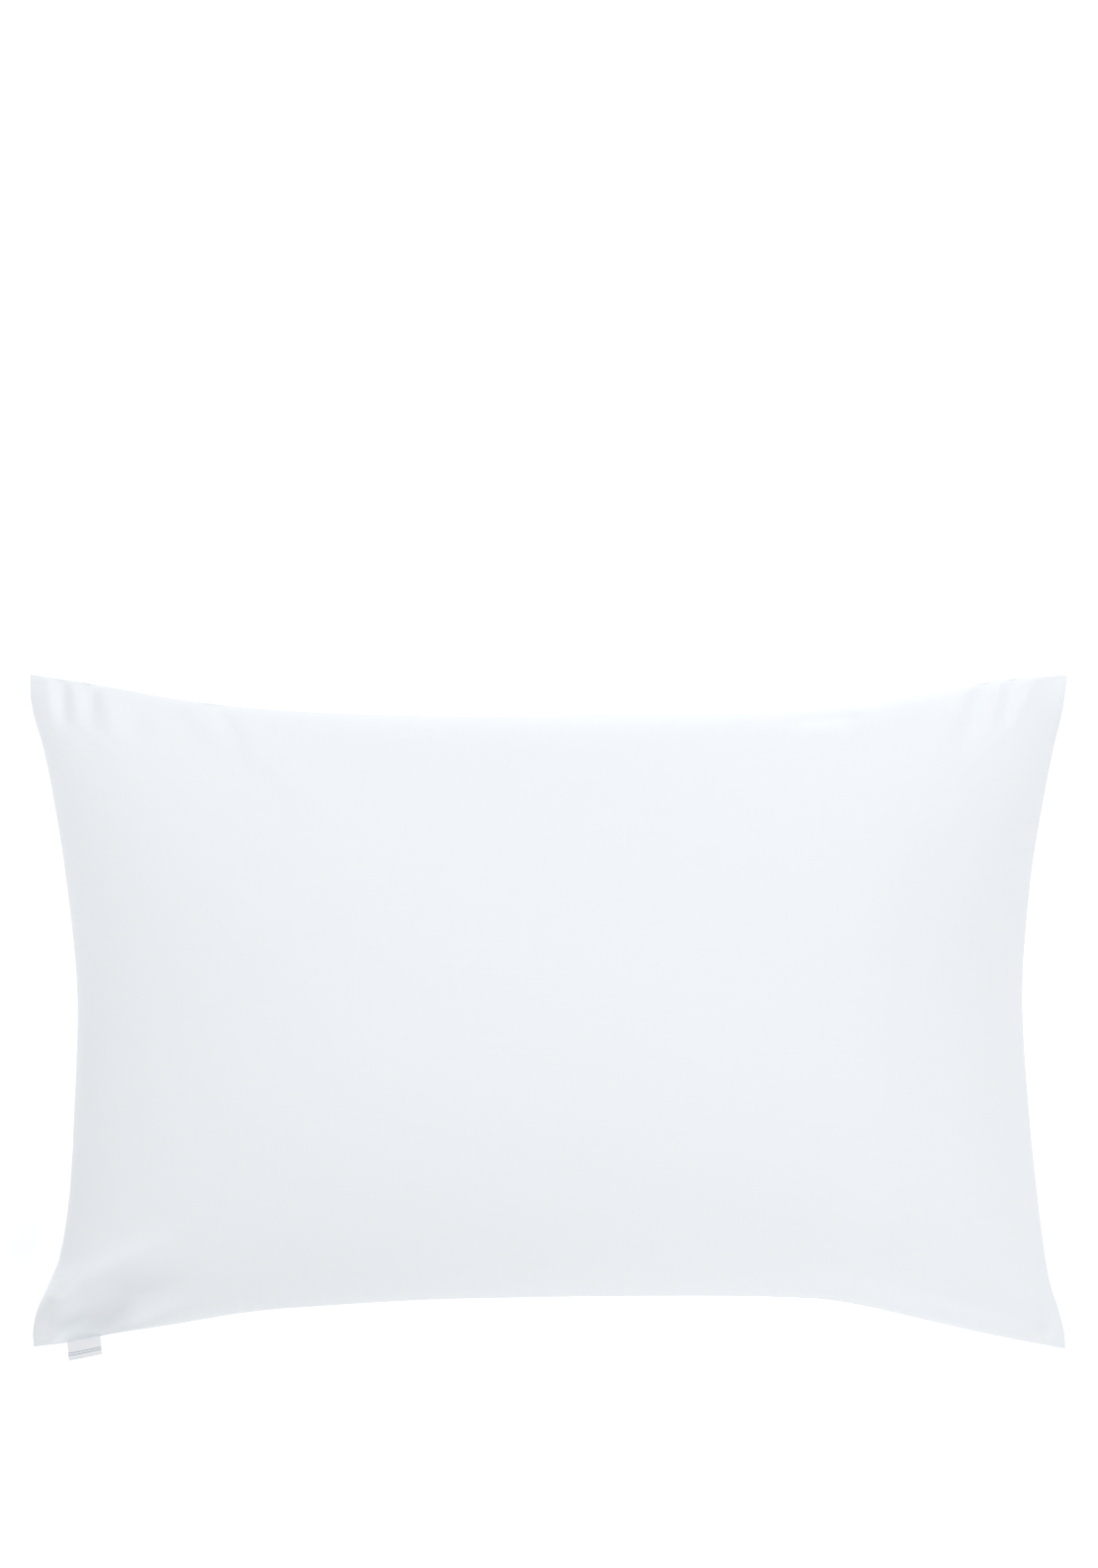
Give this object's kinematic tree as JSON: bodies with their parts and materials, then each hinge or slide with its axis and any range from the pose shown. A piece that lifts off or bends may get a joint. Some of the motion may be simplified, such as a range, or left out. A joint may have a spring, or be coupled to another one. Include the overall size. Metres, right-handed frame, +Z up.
{
  "type": "filled pillowcase",
  "caption": "White cotton pillowcase with its filling, lying flat on its back, its sides drawn in between the corners, with a small folded label in the lower seam.",
  "frame": {"origin": "on the surface that the pillowcase rests on, under the middle of the box around the case and its label", "axes": "+Z up out of the front, +X along the long side, +Y towards the upper long side, away from the label"},
  "size_m": [0.7354, 0.4871, 0.1675],
  "materials": {
    "white_cotton": "smooth plain-weave cotton, matt with a faint sheen",
    "satin_tape": "satin tape, soft gloss"
  },
  "bodies": {
    "root": {"pillowcase": "white_cotton", "side_label": "satin_tape"}
  },
  "joints": []
}
